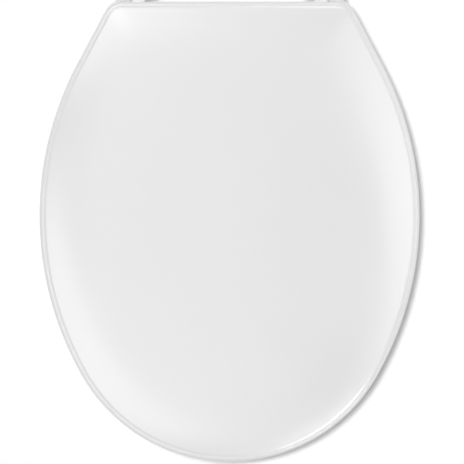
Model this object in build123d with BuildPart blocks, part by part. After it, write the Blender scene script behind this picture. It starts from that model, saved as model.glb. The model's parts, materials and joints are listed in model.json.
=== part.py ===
from build123d import *
import os
from math import atan2, cos, degrees, radians, sin, tan

os.makedirs("parts", exist_ok=True)

# Toilet seat with a lid, in millimetres.
# The origin lies midway between the two fixing bolts, on the rim of the bowl.
# X runs to the right, Y to the rear and Z up. The front tip points along -Y.

# Lid, seen from above
lid_width = 370
lid_length = 448  # straight rear edge to front tip
flank_depth = 60  # straight rear flanks, from the rear edge to where the side arcs begin
side_excess = 76  # radius of the side arcs, beyond the length from the widest line to the tip
taper_angle = 28  # of the rear flanks, from the middle line
rear_corner_radius = 21

# Lid, in section
lid_wall = 2.8
skirt_bottom = 25
border_top = 36
border_width = 4.2
rim_round = 3.2
hollow_round = 0.4  # inside the rim
edge_roll = 2  # width of the rounded step between the border and the field
edge_rise = 0.25
crown_reach = 66  # width over which the field still climbs
crown_rise = 4.4
crown_shares = (0.3, 0.6, 0.85, 1)  # where the sections of the climb lie

# Seat ring
ring_inset = 5  # ring's side inside the lid's side
ring_rear_inset = 8
ring_bottom = 8
ring_top = 27
ring_wall = 3
ring_outer_round = 11
ring_inner_round = 15
opening_width = 226
opening_widest_from_tip = 226
opening_front_reach = 150
opening_rear_reach = 118
opening_side_radius = 240
rib_count = 16
rib_thickness = 2
rib_bottom = 13
rib_reach = 240  # from the middle of the opening, past the ring's outer side

# Hinges
bolt_spacing = 155
axis_y = 4
axis_z = 22
lid_edge_to_axis = 20
barrel_radius = 8
barrel_offset = 8.5  # inner end of the post's barrel, inside the bolt
barrel_width = 12.6
lug_width = 13
ear_width = 14.8
ear_bottom = 11
ear_top = 24
ear_length = 21  # forward from the lid's rear edge
ear_overhang = 3  # ear's corner behind the lid's rear corner
ear_rear_gap = 0.8  # the ear starts to climb to its barrel this far behind the lid
ear_root = 1.2  # depth of the arm's end that the barrel grows from
hinge_gap = 0.8  # between neighbours along the pin
lug_round = 1.2
gusset_length = 40
gusset_thickness = 2.2
gusset_bottom = 26.5

# Hinge pins
pin_radius = 4
pin_head_radius = 6.2
pin_head_thickness = 2.5
pin_engagement = 10.5
pin_end_gap = 0.5
pin_chamfer = 0.8
pin_fit = 0.02  # radial, fast in the post
running_clearance = 0.08  # radial, in the lug and the ear

# Hinge posts
foot_width = 26
foot_front = 9.5  # ahead of the bolt
foot_rear = 9.5  # behind the bolt
foot_top = 13
foot_slope_start = 0  # behind the bolt, where the top begins to fall to the rear
foot_rear_top = 8.5
foot_corner = 4
foot_round = 1.5
neck_front = 2  # ahead of the bolt
gasket_thickness = 1.5
gasket_hole_radius = 5.5
gasket_margin = 0.5

# Fixing bolts, with a square head in the post's T-slot
bolt_head_width = 12
bolt_head_height = 4
bolt_head_chamfer = 0.8
bolt_neck_width = 8
bolt_radius = 4
thread_radius = 3.7
bolt_chamfer = 1.2
lip_thickness = 3
slot_clearance = 0.2
ceramic_thickness = 20
bolt_end = 62  # below the rim of the bowl

# Washers and wing nuts
rubber_thickness = 6
rubber_top_radius = 13
rubber_bottom_radius = 10
washer_thickness = 2.5
washer_radius = 11
washer_clearance = 0.3
nut_height = 14
nut_radius = 9
nut_clearance = 0.05
wing_span = 44
wing_thickness = 4
wing_round = 5

# Buffers
pad_length = 30
pad_width = 14
pad_height = 9
pad_round = 2
pad_stem_radius = 3
pad_stem_length = 8
stem_clearance = 0.05
front_pad_angle = 40  # round the front arc, from the middle line
rear_pad_x = 105
rear_pad_y = 110  # behind the widest line of the opening
rear_pad_angle = -40
lid_pad_angle = 58
lid_pad_radius = 8
lid_pad_seat = 31  # underside of the lid's sockets
lid_pad_gap = 0.2  # above the ring
lid_stem_radius = 2.5
lid_stem_length = 4.5
lid_socket_radius = 7
socket_depth_gap = 0.5

cut_margin = 1  # how far a cutting form runs past the faces it cuts

# Places worked out from the sizes above
rear_edge_y = axis_y - lid_edge_to_axis
tip_y = rear_edge_y - lid_length
side_radius = (lid_length - flank_depth + side_excess) / (1 + sin(radians(taper_angle)))
widest_from_rear = lid_length + side_excess - side_radius
opening_y = tip_y + opening_widest_from_tip
bolt_x = bolt_spacing / 2
barrel_x = bolt_x - barrel_offset
lug_x = barrel_x + barrel_width + hinge_gap
ear_x = lug_x + lug_width + hinge_gap
head_bottom = gasket_thickness + lip_thickness
roll_steps = [0, edge_roll / 3, edge_roll]
crown_steps = [edge_roll] + [crown_reach * share for share in crown_shares]


def nose_radius(half_width, radius, reach):
    """Radius of an end arc, centred on the middle line, that runs on smoothly from both side arcs."""
    return (radius**2 - (radius - half_width) ** 2 - reach**2) / (2 * (radius - reach))


def nose_sweep(half_width, radius, reach):
    """Angle from the end of the outline round to where the end arc meets the side arc."""
    nose = nose_radius(half_width, radius, reach)
    return degrees(atan2(radius - half_width, reach - nose))


def seat_outline(inset, rear_inset, corner_radius):
    """The seat's outline, moved in by inset, with its straight rear edge moved in by rear_inset."""
    half = lid_width / 2 - inset
    radius = side_radius - inset
    reach = lid_length - widest_from_rear - inset
    sweep_angle = nose_sweep(half, radius, reach)
    rear_y = rear_edge_y - rear_inset
    with BuildSketch() as outline:
        with BuildLine():
            front = JernArc((0, tip_y + inset), (1, 0), nose_radius(half, radius, reach), sweep_angle)
            side = JernArc(front @ 1, front % 1, radius, 90 - sweep_angle + taper_angle)
            flank = side @ 1
            corner_x = flank.X - (rear_y - flank.Y) * tan(radians(taper_angle))
            Polyline(flank, (corner_x, rear_y), (0, rear_y))
            mirror(about=Plane.YZ)
        make_face()
        corners = outline.vertices().group_by(Axis.Y)[-1].sort_by(Axis.X)
        fillet([corners[0], corners[-1]], corner_radius)
    return outline.sketch


def opening_outline(outset):
    """The egg-shaped opening of the ring, moved out by outset."""
    half = opening_width / 2 + outset
    radius = opening_side_radius + outset
    front_reach = opening_front_reach + outset
    rear_reach = opening_rear_reach + outset
    front_sweep = nose_sweep(half, radius, front_reach)
    rear_sweep = nose_sweep(half, radius, rear_reach)
    with BuildSketch() as outline:
        with BuildLine():
            front_start = (0, opening_y - front_reach)
            front = JernArc(front_start, (1, 0), nose_radius(half, radius, front_reach), front_sweep)
            side = JernArc(front @ 1, front % 1, radius, 180 - front_sweep - rear_sweep)
            JernArc(side @ 1, side % 1, nose_radius(half, radius, rear_reach), rear_sweep)
            mirror(about=Plane.YZ)
        make_face()
    return outline.sketch


def ring_spot(angle):
    """The middle of the ring's front bow, at an angle round it from the middle line."""
    outer_reach = lid_length - widest_from_rear - ring_inset
    outer = nose_radius(lid_width / 2 - ring_inset, side_radius - ring_inset, outer_reach)
    inner = nose_radius(opening_width / 2, opening_side_radius, opening_front_reach)
    outer_y = tip_y + ring_inset + outer
    inner_y = opening_y - opening_front_reach + inner
    middle = (outer + inner) / 2
    return middle * sin(radians(angle)), (outer_y + inner_y) / 2 - middle * cos(radians(angle))


def field_rise(distance):
    """Height of the lid's field above its border, at a distance in from the border."""
    roll = min(distance / edge_roll, 1)
    climb = 1 - distance / crown_reach
    return edge_rise * sin(radians(90 * roll)) + crown_rise * (1 - climb**3)


def lid_form(wall, bottom, edge_round):
    """The lid filled solid, moved in by wall all over, down to a flat bottom."""
    border = border_top - wall
    field_corner = rear_corner_radius - border_width
    with BuildPart() as form:
        with BuildSketch(Plane.XY.offset(bottom)):
            add(seat_outline(wall, wall, rear_corner_radius - wall))
        extrude(amount=border - bottom)
        fillet(form.edges().group_by(Axis.Z)[-1], edge_round)
        for steps in (roll_steps, crown_steps):
            for step in steps:
                inset = border_width + step + wall
                with BuildSketch(Plane.XY.offset(border + field_rise(step))):
                    add(seat_outline(inset, inset, field_corner))
            loft()
    return form.part


def ring_form(wall, bottom):
    """The ring filled solid, moved in by wall all over, down to a flat bottom."""
    with BuildPart() as form:
        with BuildSketch(Plane.XY.offset(bottom)):
            corner = rear_corner_radius - ring_inset - wall
            add(seat_outline(ring_inset + wall, ring_rear_inset + wall, corner))
            add(opening_outline(wall), mode=Mode.SUBTRACT)
        extrude(amount=ring_top - wall - bottom)
        outer_edges = form.faces().sort_by(Axis.Z)[-1].outer_wire().edges()
        fillet(outer_edges, ring_outer_round - wall)
        inner_edges = form.faces().sort_by(Axis.Z)[-1].inner_wires()[0].edges()
        fillet(inner_edges, ring_inner_round - wall)
    return form.part


def save(piece, name):
    """Label a finished piece and write it."""
    piece.label = name
    export_step(piece, f"parts/{name}.step")


def save_pair(piece, name):
    """Write a right-hand piece and its mirror image."""
    save(piece, f"{name}_right")
    with BuildPart() as left:
        mirror(piece, about=Plane.YZ)
    save(left.part, f"{name}_left")


# Lid lug on the right: a barrel round the pin, carried by the lid's rear wall
with BuildPart() as lid_lug:
    with BuildSketch(Plane.YZ.offset(lug_x)):
        with Locations((axis_y, axis_z)):
            Circle(barrel_radius)
        with Locations((rear_edge_y, (skirt_bottom + border_top) / 2)):
            Rectangle(lid_wall, border_top - skirt_bottom - rim_round, align=(Align.MAX, Align.CENTER))
        make_hull()
    extrude(amount=lug_width)
    fillet(lid_lug.faces().filter_by(Axis.X).edges(), lug_round)

# Gussets under the lid, in line with both faces of the lug, trimmed to the hollow of the lid
lid_hollow = lid_form(lid_wall, skirt_bottom - cut_margin, hollow_round)
with BuildPart() as lid_stiffening:
    for x in (lug_x + lug_round, lug_x + lug_width - lug_round - gusset_thickness):
        with BuildSketch(Plane.YZ.offset(x)):
            with BuildLine():
                Polyline(
                    (rear_edge_y, gusset_bottom),
                    (rear_edge_y, border_top + crown_rise),
                    (rear_edge_y - gusset_length, border_top + crown_rise),
                    (rear_edge_y - gusset_length, border_top),
                    close=True,
                )
            make_face()
        extrude(amount=gusset_thickness)
    with BuildSketch(Plane.XY.offset(lid_pad_seat)):
        with Locations(ring_spot(lid_pad_angle)):
            Circle(lid_socket_radius)
    extrude(amount=border_top + crown_rise + edge_rise - lid_pad_seat)
    mirror(about=Plane.YZ)
    add(lid_hollow, mode=Mode.INTERSECT)

with BuildPart() as lid:
    add(lid_form(0, skirt_bottom, rim_round))
    add(lid_hollow, mode=Mode.SUBTRACT)
    add(lid_stiffening.part)
    add(lid_lug.part)
    mirror(lid_lug.part, about=Plane.YZ)
    with BuildSketch(Plane.YZ):
        with Locations((axis_y, axis_z)):
            Circle(pin_radius + running_clearance)
    extrude(amount=lid_width / 2, both=True, mode=Mode.SUBTRACT)
    with BuildSketch(Plane.XY.offset(lid_pad_seat)):
        with Locations(ring_spot(lid_pad_angle)):
            Circle(lid_stem_radius + stem_clearance)
        mirror(about=Plane.YZ)
    extrude(amount=lid_stem_length + socket_depth_gap, mode=Mode.SUBTRACT)
save(lid.part, "lid")

# Soft pads plugged into the lid, which rest on the ring
with BuildPart() as lid_buffer:
    pad_bottom = ring_top + lid_pad_gap
    with BuildSketch(Plane.XY.offset(pad_bottom)):
        with Locations(ring_spot(lid_pad_angle)):
            Circle(lid_pad_radius)
    extrude(amount=lid_pad_seat - pad_bottom)
    fillet(lid_buffer.edges().group_by(Axis.Z)[0], pad_round)
    with BuildSketch(Plane.XY.offset(lid_pad_seat)):
        with Locations(ring_spot(lid_pad_angle)):
            Circle(lid_stem_radius)
    extrude(amount=lid_stem_length)
save_pair(lid_buffer.part, "lid_buffer")

# Ear of the ring on the right: a barrel round the pin, on an arm that follows the lid's corner
with BuildPart() as ring_ear:
    arm_rear = rear_edge_y + ear_rear_gap
    with BuildSketch(Plane.YZ.offset(ear_x)):
        with Locations((axis_y, axis_z)):
            Circle(barrel_radius)
        with Locations((arm_rear, ear_bottom)):
            Rectangle(ear_root, ear_top - ear_bottom, align=(Align.MAX, Align.MIN))
        make_hull()
        with Locations((arm_rear, ear_bottom)):
            Rectangle(ear_length, ear_top - ear_bottom, align=(Align.MAX, Align.MIN))
    extrude(amount=lid_width / 2 - ear_x)
    with BuildSketch():
        add(seat_outline(0, -ear_overhang, rear_corner_radius))
        with Locations((ear_x, rear_edge_y - ear_length)):
            reach = axis_y + barrel_radius - rear_edge_y + ear_length
            Rectangle(ear_width, reach, align=(Align.MIN, Align.MIN))
    extrude(amount=axis_z + barrel_radius, mode=Mode.INTERSECT)
    fillet(ring_ear.faces().sort_by(Axis.X)[0].edges(), lug_round)

# Cross ribs and buffer sockets under the ring, trimmed to the hollow of the ring
ring_hollow = ring_form(ring_wall, ring_bottom - cut_margin)
front_pad = Location((*ring_spot(front_pad_angle), 0), (0, 0, front_pad_angle))
rear_pad = Location((rear_pad_x, opening_y + rear_pad_y, 0), (0, 0, rear_pad_angle))
with BuildPart() as ring_stiffening:
    for spot in (front_pad, rear_pad):
        with BuildSketch(Plane(spot).offset(pad_height)):
            SlotOverall(pad_length, pad_width)
        extrude(amount=ring_top - pad_height)
    mirror(about=Plane.YZ)
    with Locations((0, opening_y, rib_bottom)):
        with PolarLocations(rib_reach / 2, rib_count, start_angle=180 / rib_count):
            Box(rib_reach, rib_thickness, ring_top, align=(Align.CENTER, Align.CENTER, Align.MIN))
    add(ring_hollow, mode=Mode.INTERSECT)

with BuildPart() as stem_holes:
    for spot in (front_pad, rear_pad):
        with BuildSketch(Plane(spot).offset(pad_height)):
            Circle(pad_stem_radius + stem_clearance)
        extrude(amount=pad_stem_length + socket_depth_gap)
    mirror(about=Plane.YZ)

with BuildPart() as ear_bore:
    with BuildSketch(Plane.YZ.offset(ear_x)):
        with Locations((axis_y, axis_z)):
            Circle(pin_radius + running_clearance)
    extrude(amount=pin_engagement + pin_end_gap)
    mirror(about=Plane.YZ)

with BuildPart() as seat_ring:
    add(ring_form(0, ring_bottom))
    add(ring_hollow, mode=Mode.SUBTRACT)
    add(ring_stiffening.part)
    add(ring_ear.part)
    mirror(ring_ear.part, about=Plane.YZ)
    add(ear_bore.part, mode=Mode.SUBTRACT)
    add(stem_holes.part, mode=Mode.SUBTRACT)
save(seat_ring.part, "seat_ring")

# Soft pads plugged into the ring, which rest on the bowl
for spot, place in ((front_pad, "front"), (rear_pad, "rear")):
    with BuildPart() as seat_buffer:
        with BuildSketch(Plane(spot)):
            SlotOverall(pad_length, pad_width)
        extrude(amount=pad_height)
        fillet(seat_buffer.edges().group_by(Axis.Z)[0], pad_round)
        with BuildSketch(Plane(spot).offset(pad_height)):
            Circle(pad_stem_radius)
        extrude(amount=pad_stem_length)
    save_pair(seat_buffer.part, f"seat_buffer_{place}")

# Neck of the hinge post, from the foot up to the barrel round the pin
with BuildPart() as post_neck:
    with BuildSketch(Plane.YZ.offset(barrel_x)):
        with Locations((axis_y, axis_z)):
            Circle(barrel_radius)
        with Locations((-neck_front, gasket_thickness)):
            neck_length = neck_front + foot_rear - foot_round
            Rectangle(neck_length, foot_top - gasket_thickness, align=(Align.MIN, Align.MIN))
        make_hull()
    extrude(amount=barrel_width)
    fillet(post_neck.faces().filter_by(Axis.X).edges(), lug_round)

# Hinge post: a foot on the bowl, with a T-slot for the bolt that opens to the front
with BuildPart() as hinge_post:
    with BuildSketch(Plane.XY.offset(gasket_thickness)):
        with Locations((bolt_x, (foot_rear - foot_front) / 2)):
            RectangleRounded(foot_width, foot_front + foot_rear, foot_corner)
    extrude(amount=foot_top - gasket_thickness)
    with BuildSketch(Plane.YZ.offset(bolt_x)):
        with BuildLine():
            Polyline(
                (foot_slope_start, foot_top),
                (foot_rear, foot_rear_top),
                (foot_rear, foot_top),
                close=True,
            )
        make_face()
    extrude(amount=foot_width, both=True, mode=Mode.SUBTRACT)
    upright_edges = hinge_post.edges().filter_by(Axis.Z)
    bottom_edges = hinge_post.edges().group_by(Axis.Z)[0]
    fillet(hinge_post.edges() - upright_edges - bottom_edges, foot_round)
    add(post_neck.part)
    with BuildSketch(Plane.YZ.offset(barrel_x)):
        with Locations((axis_y, axis_z)):
            Circle(pin_radius + pin_fit)
    extrude(amount=barrel_width, mode=Mode.SUBTRACT)
    slot_front = foot_front + cut_margin
    for width, low, height in (
        (bolt_neck_width, gasket_thickness, lip_thickness),
        (bolt_head_width, head_bottom, bolt_head_height + slot_clearance),
    ):
        with BuildSketch(Plane.XY.offset(low)):
            with Locations((bolt_x, -slot_front)):
                slot_length = slot_front + width / 2 + slot_clearance
                Rectangle(width + 2 * slot_clearance, slot_length, align=(Align.CENTER, Align.MIN))
        extrude(amount=height, mode=Mode.SUBTRACT)
save_pair(hinge_post.part, "hinge_post")

# Headed pin, pushed in from the middle of the seat
with BuildPart() as hinge_pin:
    with BuildSketch(Plane.YZ.offset(barrel_x - pin_head_thickness)):
        with Locations((axis_y, axis_z)):
            Circle(pin_head_radius)
    extrude(amount=pin_head_thickness)
    fillet(hinge_pin.edges().group_by(Axis.X)[0], pin_chamfer)
    with BuildSketch(Plane.YZ.offset(barrel_x)):
        with Locations((axis_y, axis_z)):
            Circle(pin_radius)
    extrude(amount=ear_x + pin_engagement - barrel_x)
    chamfer(hinge_pin.edges().group_by(Axis.X)[-1], pin_chamfer)
save_pair(hinge_pin.part, "hinge_pin")

# Soft pad between the post and the ceramic
with BuildPart() as post_gasket:
    with BuildSketch():
        with Locations((bolt_x, (foot_rear - foot_front) / 2)):
            gasket_width = foot_width - 2 * gasket_margin
            gasket_length = foot_front + foot_rear - 2 * gasket_margin
            RectangleRounded(gasket_width, gasket_length, foot_corner - gasket_margin)
        with Locations((bolt_x, 0)):
            Circle(gasket_hole_radius, mode=Mode.SUBTRACT)
    extrude(amount=gasket_thickness)
save_pair(post_gasket.part, "post_gasket")

# Bolt with a square head and neck, a plain shank in the ceramic and a threaded end below it
with BuildPart() as fixing_bolt:
    with BuildSketch(Plane.XY.offset(head_bottom)):
        with Locations((bolt_x, 0)):
            Rectangle(bolt_head_width, bolt_head_width)
    extrude(amount=bolt_head_height)
    chamfer(fixing_bolt.edges().group_by(Axis.Z)[-1], bolt_head_chamfer)
    with BuildSketch(Plane.XY.offset(gasket_thickness)):
        with Locations((bolt_x, 0)):
            Rectangle(bolt_neck_width, bolt_neck_width)
    extrude(amount=lip_thickness)
    with BuildSketch(Plane.XY.offset(-ceramic_thickness)):
        with Locations((bolt_x, 0)):
            Circle(bolt_radius)
    extrude(amount=ceramic_thickness + gasket_thickness)
    with BuildSketch(Plane.XY.offset(-bolt_end)):
        with Locations((bolt_x, 0)):
            Circle(thread_radius)
    extrude(amount=bolt_end - ceramic_thickness)
    chamfer(fixing_bolt.edges().group_by(Axis.Z)[0], bolt_chamfer)
save_pair(fixing_bolt.part, "fixing_bolt")

# Tapered rubber washer, against the underside of the ceramic
rubber_bottom = -ceramic_thickness - rubber_thickness
with BuildPart() as rubber_washer:
    with Locations((bolt_x, 0, rubber_bottom)):
        base = (Align.CENTER, Align.CENTER, Align.MIN)
        Cone(rubber_bottom_radius, rubber_top_radius, rubber_thickness, align=base)
        Hole(thread_radius + washer_clearance)
save_pair(rubber_washer.part, "rubber_washer")

# Hard washer between the rubber and the nut
washer_bottom = rubber_bottom - washer_thickness
with BuildPart() as plain_washer:
    with BuildSketch(Plane.XY.offset(washer_bottom)):
        with Locations((bolt_x, 0)):
            Circle(washer_radius)
            Circle(thread_radius + washer_clearance, mode=Mode.SUBTRACT)
    extrude(amount=washer_thickness)
save_pair(plain_washer.part, "plain_washer")

# Wing nut, with wings that hang down and outwards
nut_bottom = washer_bottom - nut_height
with BuildPart() as wing_nut:
    with BuildSketch(Plane.XZ):
        with Locations((bolt_x - wing_span / 2 + wing_round, nut_bottom)):
            Circle(wing_round)
        with Locations((bolt_x + wing_span / 2 - wing_round, nut_bottom)):
            Circle(wing_round)
        with Locations((bolt_x, washer_bottom - wing_thickness)):
            Rectangle(nut_radius, wing_thickness)
        make_hull()
    extrude(amount=wing_thickness / 2, both=True)
    with BuildSketch(Plane.XY.offset(nut_bottom)):
        with Locations((bolt_x, 0)):
            Circle(nut_radius)
    extrude(amount=nut_height)
    with Locations((bolt_x, 0, nut_bottom)):
        Hole(thread_radius + nut_clearance)
save_pair(wing_nut.part, "wing_nut")
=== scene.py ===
import bpy
import json
import math
from mathutils import Matrix, Vector


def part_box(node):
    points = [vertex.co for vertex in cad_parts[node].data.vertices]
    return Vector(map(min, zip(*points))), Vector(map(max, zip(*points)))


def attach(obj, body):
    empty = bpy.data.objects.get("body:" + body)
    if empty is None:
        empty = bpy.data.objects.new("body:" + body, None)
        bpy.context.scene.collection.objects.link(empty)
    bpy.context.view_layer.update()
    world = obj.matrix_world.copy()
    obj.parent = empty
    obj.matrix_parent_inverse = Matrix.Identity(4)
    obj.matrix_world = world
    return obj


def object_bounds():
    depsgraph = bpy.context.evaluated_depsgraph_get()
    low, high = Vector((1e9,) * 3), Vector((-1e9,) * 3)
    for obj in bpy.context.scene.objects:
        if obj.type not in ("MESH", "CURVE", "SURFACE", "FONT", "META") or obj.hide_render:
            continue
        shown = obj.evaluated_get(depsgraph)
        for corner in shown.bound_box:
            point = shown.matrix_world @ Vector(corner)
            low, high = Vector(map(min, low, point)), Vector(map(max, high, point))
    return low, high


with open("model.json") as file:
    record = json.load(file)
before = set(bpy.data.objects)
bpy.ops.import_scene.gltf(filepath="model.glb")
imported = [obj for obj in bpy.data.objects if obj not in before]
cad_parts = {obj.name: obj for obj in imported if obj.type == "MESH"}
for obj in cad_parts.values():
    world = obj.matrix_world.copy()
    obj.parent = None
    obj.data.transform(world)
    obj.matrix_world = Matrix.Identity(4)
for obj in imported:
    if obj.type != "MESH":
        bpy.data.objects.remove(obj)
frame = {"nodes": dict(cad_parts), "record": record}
cad_low, cad_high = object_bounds()
nodes = frame["nodes"]
scene = bpy.context.scene
scene.view_settings.view_transform = "Standard"

# Lengths are in metres

# Finishes
white = (0.79, 0.79, 0.79)
hinge_white = (0.77, 0.77, 0.77)
nylon = (0.74, 0.74, 0.71)
buffer_tone = (0.72, 0.72, 0.71)
gasket_tone = (0.5, 0.5, 0.49)
rubber_tone = (0.045, 0.045, 0.045)
cloud_scale = 9.0  # soft clouds in the tone and the gloss, per metre
cloud_detail = 3.0
cloud_low = 0.3
cloud_high = 0.7
grain_detail = 4.0

# Screw thread on the bolts
nut_height = 0.014
thread_pitch = 0.00125
thread_root = 0.0036
thread_crest = 0.004
flank_width = 0.0007
crest_width = 0.00016
thread_runout = 0.0018
thread_corners = 4  # corners of the thread's section
steps_per_turn = 36
runout_steps = 18
sharp_angle = 35  # degrees

# Floor and lights
floor_reach = 6.0
floor_tone = 0.9
floor_lift = 0.14
world_strength = 0.2
key_strength = 0.655
key_width = 3.8  # degrees across
key_way = (-0.055, 0.032, 1)  # towards the key light, almost overhead
box_height = 1.04
panel_aim = (0, -0.23, 0.03)  # middle of the seat
panel_distance = 4.0
panel_lift = 0.65
panel_size = (4.5, 1.0)

# Camera
camera_distance = 14.0
view_width = 0.4518
view_x = 0.0024
view_y = -0.2404
border_top = 0.036  # height of the lid's border, where view_width is measured
sensor_width = 36  # millimetres
far_clip = 60


def link(obj):
    """Put a new object into the scene."""
    scene.collection.objects.link(obj)
    return obj


def moulded(name, tone, roughness, spread, grain, grain_height, shade):
    """A moulded plastic or rubber: slightly uneven tone, uneven gloss and a fine grain in the surface.

    The roughness varies by spread either way, the tone down to shade times its value.
    The grain has so many cells per metre.
    """
    mat = bpy.data.materials.new(name)
    mat.use_nodes = True
    tree = mat.node_tree
    shader = tree.nodes["Principled BSDF"]
    place = tree.nodes.new("ShaderNodeTexCoord")

    clouds = tree.nodes.new("ShaderNodeTexNoise")
    clouds.inputs["Scale"].default_value = cloud_scale
    clouds.inputs["Detail"].default_value = cloud_detail
    tree.links.new(place.outputs["Object"], clouds.inputs["Vector"])

    ramp = tree.nodes.new("ShaderNodeValToRGB")
    dark, light = ramp.color_ramp.elements
    dark.position = cloud_low
    light.position = cloud_high
    dark.color = (*[part * shade for part in tone], 1)
    light.color = (*tone, 1)
    tree.links.new(clouds.outputs["Fac"], ramp.inputs["Fac"])
    tree.links.new(ramp.outputs["Color"], shader.inputs["Base Color"])

    gloss = tree.nodes.new("ShaderNodeMapRange")
    gloss.inputs["From Min"].default_value = cloud_low
    gloss.inputs["From Max"].default_value = cloud_high
    gloss.inputs["To Min"].default_value = roughness - spread
    gloss.inputs["To Max"].default_value = roughness + spread
    tree.links.new(clouds.outputs["Fac"], gloss.inputs["Value"])
    tree.links.new(gloss.outputs["Result"], shader.inputs["Roughness"])

    specks = tree.nodes.new("ShaderNodeTexNoise")
    specks.inputs["Scale"].default_value = grain
    specks.inputs["Detail"].default_value = grain_detail
    tree.links.new(place.outputs["Object"], specks.inputs["Vector"])
    bump = tree.nodes.new("ShaderNodeBump")
    bump.inputs["Strength"].default_value = 1.0
    bump.inputs["Distance"].default_value = grain_height
    tree.links.new(specks.outputs["Fac"], bump.inputs["Height"])
    tree.links.new(bump.outputs["Normal"], shader.inputs["Normal"])
    return mat


plastic = {
    "lid": moulded("lid_gloss", white, 0.24, 0.03, 420, 0.000004, 0.993),
    "ring": moulded("ring_gloss", white, 0.24, 0.03, 420, 0.000005, 0.985),
    "hinge": moulded("hinge_gloss", hinge_white, 0.33, 0.04, 600, 0.000006, 0.985),
    "buffer": moulded("buffer_soft", buffer_tone, 0.62, 0.05, 900, 0.00003, 0.95),
    "gasket": moulded("gasket_soft", gasket_tone, 0.68, 0.05, 900, 0.00004, 0.93),
    "rubber": moulded("rubber_black", rubber_tone, 0.6, 0.08, 1100, 0.00005, 0.8),
    "bolt": moulded("bolt_nylon", nylon, 0.42, 0.05, 800, 0.00001, 0.96),
    "nut": moulded("nut_nylon", nylon, 0.45, 0.05, 800, 0.000015, 0.96),
}
for part in frame["record"]["subparts"]:
    mesh = nodes[part["node"]].data
    mesh.materials.clear()
    mesh.materials.append(plastic[part["material_slot"]])


def thread(name, bolt, nut, body):
    """A screw thread on the end of a bolt that stands out below its nut."""
    bolt_low, bolt_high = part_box(bolt)
    nut_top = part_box(nut)[1].z
    middle = (bolt_low + bolt_high) / 2
    top = nut_top - nut_height
    bottom = bolt_low.z + thread_runout
    turns = (top - bottom) / thread_pitch
    steps = round(turns * steps_per_turn)
    points = []
    faces = []
    for step in range(steps + 1):
        angle = 2 * math.pi * step / steps_per_turn
        height = top - thread_pitch * step / steps_per_turn
        fade = min(1, step / runout_steps, (steps - step) / runout_steps)
        crest = thread_root + (thread_crest - thread_root) * fade
        for radius, rise in (
            (thread_root, flank_width / 2),
            (crest, crest_width / 2),
            (crest, -crest_width / 2),
            (thread_root, -flank_width / 2),
        ):
            x = middle.x + radius * math.cos(angle)
            y = middle.y + radius * math.sin(angle)
            points.append((x, y, height + rise))
    for step in range(steps):
        for corner in range(thread_corners):
            here = thread_corners * step + corner
            beside = thread_corners * step + (corner + 1) % thread_corners
            faces.append((here, beside, beside + thread_corners, here + thread_corners))
    last = thread_corners * steps
    faces.append(tuple(reversed(range(thread_corners))))
    faces.append(tuple(range(last, last + thread_corners)))
    mesh = bpy.data.meshes.new(name)
    mesh.from_pydata(points, [], faces)
    mesh.materials.append(plastic["bolt"])
    mesh.shade_smooth()
    mesh.set_sharp_from_angle(angle=math.radians(sharp_angle))
    ridge = link(bpy.data.objects.new(name, mesh))
    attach(ridge, body)


for hand in ("left", "right"):
    thread(f"bolt_thread_{hand}", f"fixing_bolt_{hand}", f"wing_nut_{hand}", "base")

# Floor, level with the lowest point of the part
floor_mesh = bpy.data.meshes.new("floor")
floor_mesh.from_pydata(
    [
        (-floor_reach, -floor_reach, cad_low.z),
        (floor_reach, -floor_reach, cad_low.z),
        (floor_reach, floor_reach, cad_low.z),
        (-floor_reach, floor_reach, cad_low.z),
    ],
    [],
    [(0, 1, 2, 3)],
)
floor = link(bpy.data.objects.new("floor", floor_mesh))
paper = bpy.data.materials.new("floor_paper")
paper.use_nodes = True
tree = paper.node_tree
tree.nodes.clear()
matt = tree.nodes.new("ShaderNodeBsdfDiffuse")
matt.inputs["Color"].default_value = (floor_tone, floor_tone, floor_tone, 1)

# The floor is lifted to white for the eye and in reflections, so that the lift lights nothing
lift = tree.nodes.new("ShaderNodeEmission")
lift.inputs["Strength"].default_value = floor_lift
lifted = tree.nodes.new("ShaderNodeAddShader")
tree.links.new(matt.outputs[0], lifted.inputs[0])
tree.links.new(lift.outputs[0], lifted.inputs[1])
ray = tree.nodes.new("ShaderNodeLightPath")
seen = ray.outputs["Is Camera Ray"]
for kind in ("Is Glossy Ray", "Is Transmission Ray"):
    either = tree.nodes.new("ShaderNodeMath")
    either.operation = "MAXIMUM"
    tree.links.new(seen, either.inputs[0])
    tree.links.new(ray.outputs[kind], either.inputs[1])
    seen = either.outputs[0]
upper = tree.nodes.new("ShaderNodeMixShader")
tree.links.new(seen, upper.inputs["Fac"])
tree.links.new(matt.outputs[0], upper.inputs[1])
tree.links.new(lifted.outputs[0], upper.inputs[2])

# From below the floor is clear, so that the underside of the seat shows
sides = tree.nodes.new("ShaderNodeNewGeometry")
clear = tree.nodes.new("ShaderNodeBsdfTransparent")
one_way = tree.nodes.new("ShaderNodeMixShader")
tree.links.new(sides.outputs["Backfacing"], one_way.inputs["Fac"])
tree.links.new(upper.outputs[0], one_way.inputs[1])
tree.links.new(clear.outputs[0], one_way.inputs[2])
surface = tree.nodes.new("ShaderNodeOutputMaterial")
tree.links.new(one_way.outputs[0], surface.inputs["Surface"])
floor_mesh.materials.append(paper)

# Even light from all round
world = bpy.data.worlds.new("studio")
scene.world = world
world.use_nodes = True
background = world.node_tree.nodes["Background"]
background.inputs["Color"].default_value = (1, 1, 1, 1)
background.inputs["Strength"].default_value = world_strength

# Key light, a little to the rear left, which throws the shadow
sun = bpy.data.lights.new("key", "SUN")
sun.energy = key_strength * math.pi
sun.angle = math.radians(key_width)
key = link(bpy.data.objects.new("key", sun))
key.rotation_euler = Vector(key_way).to_track_quat("Z", "Y").to_euler()
key.visible_glossy = False


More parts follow.
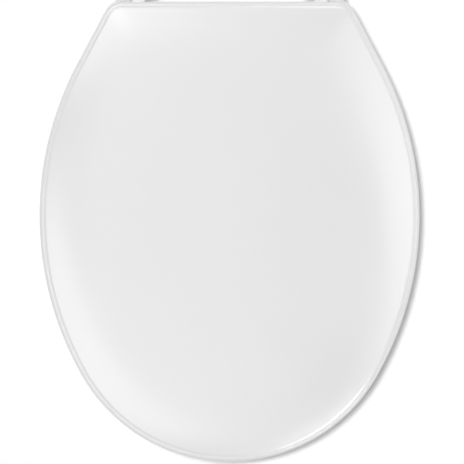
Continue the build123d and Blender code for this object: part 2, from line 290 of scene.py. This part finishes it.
def softbox(name, centre, aim, size, turn, radiance, diffuse=False):
    """A soft light that shows in the gloss of the seat or, where diffuse is true, only lights it.

    It is turned by so many degrees about the line from aim to centre.
    """
    lamp = bpy.data.lights.new(name, "AREA")
    lamp.shape = "RECTANGLE"
    lamp.size, lamp.size_y = size
    lamp.energy = radiance * math.pi * size[0] * size[1]
    obj = link(bpy.data.objects.new(name, lamp))
    back = Vector(centre) - Vector(aim)
    facing = back.to_track_quat("Z", "Y").to_matrix().to_4x4()
    spin = Matrix.Rotation(math.radians(turn), 4, "Z")
    obj.matrix_world = Matrix.Translation(centre) @ facing @ spin
    obj.visible_diffuse = diffuse
    obj.visible_glossy = not diffuse
    obj.visible_camera = False


def overhead(name, x, y, size, turn, radiance):
    """A soft light that hangs level, one metre above the lid, and shows in its gloss."""
    softbox(name, (x, y, box_height), (x, y, 0), size, turn, radiance)


def side_panel(name, azimuth, radiance):
    """A long low panel far to one side, which lights the edges of the seat.

    The azimuth is in degrees, from the right of the seat over its rear.
    """
    angle = math.radians(azimuth)
    aim = Vector(panel_aim)
    away = Vector((math.cos(angle), math.sin(angle), 0))
    centre = aim + panel_distance * away + Vector((0, 0, panel_lift))
    softbox(name, centre, aim, panel_size, 0, radiance, True)


overhead("box_right", 0.537, -0.15, (0.5, 0.6), 33, 5.0)
overhead("box_front_left", -0.408, -0.5, (0.68, 0.4), -49, 5.1)
overhead("box_rear_left", -0.315, 0.295, (0.47, 0.46), -12, 6.3)
overhead("box_left_wide", -0.105, -0.25, (0.28, 1.0), 3, 2.1)
overhead("box_front_right", 0.477, -0.935, (0.52, 0.38), 37, 13)
overhead("box_rear_right", 0.19, 0.65, (0.3, 0.3), 0, 9)
side_panel("panel_right", 0, 3)
side_panel("panel_front", -90, 1.4)
side_panel("panel_left", 180, 1.6)
side_panel("panel_rear", 90, 2.2)

# Camera, straight above as in the photo, through a long lens
lens = bpy.data.cameras.new("camera")
lens.sensor_width = sensor_width
lens.lens = sensor_width * camera_distance / view_width
lens.clip_end = far_clip
camera = link(bpy.data.objects.new("camera", lens))
camera.location = (view_x, view_y, border_top + camera_distance)
scene.camera = camera
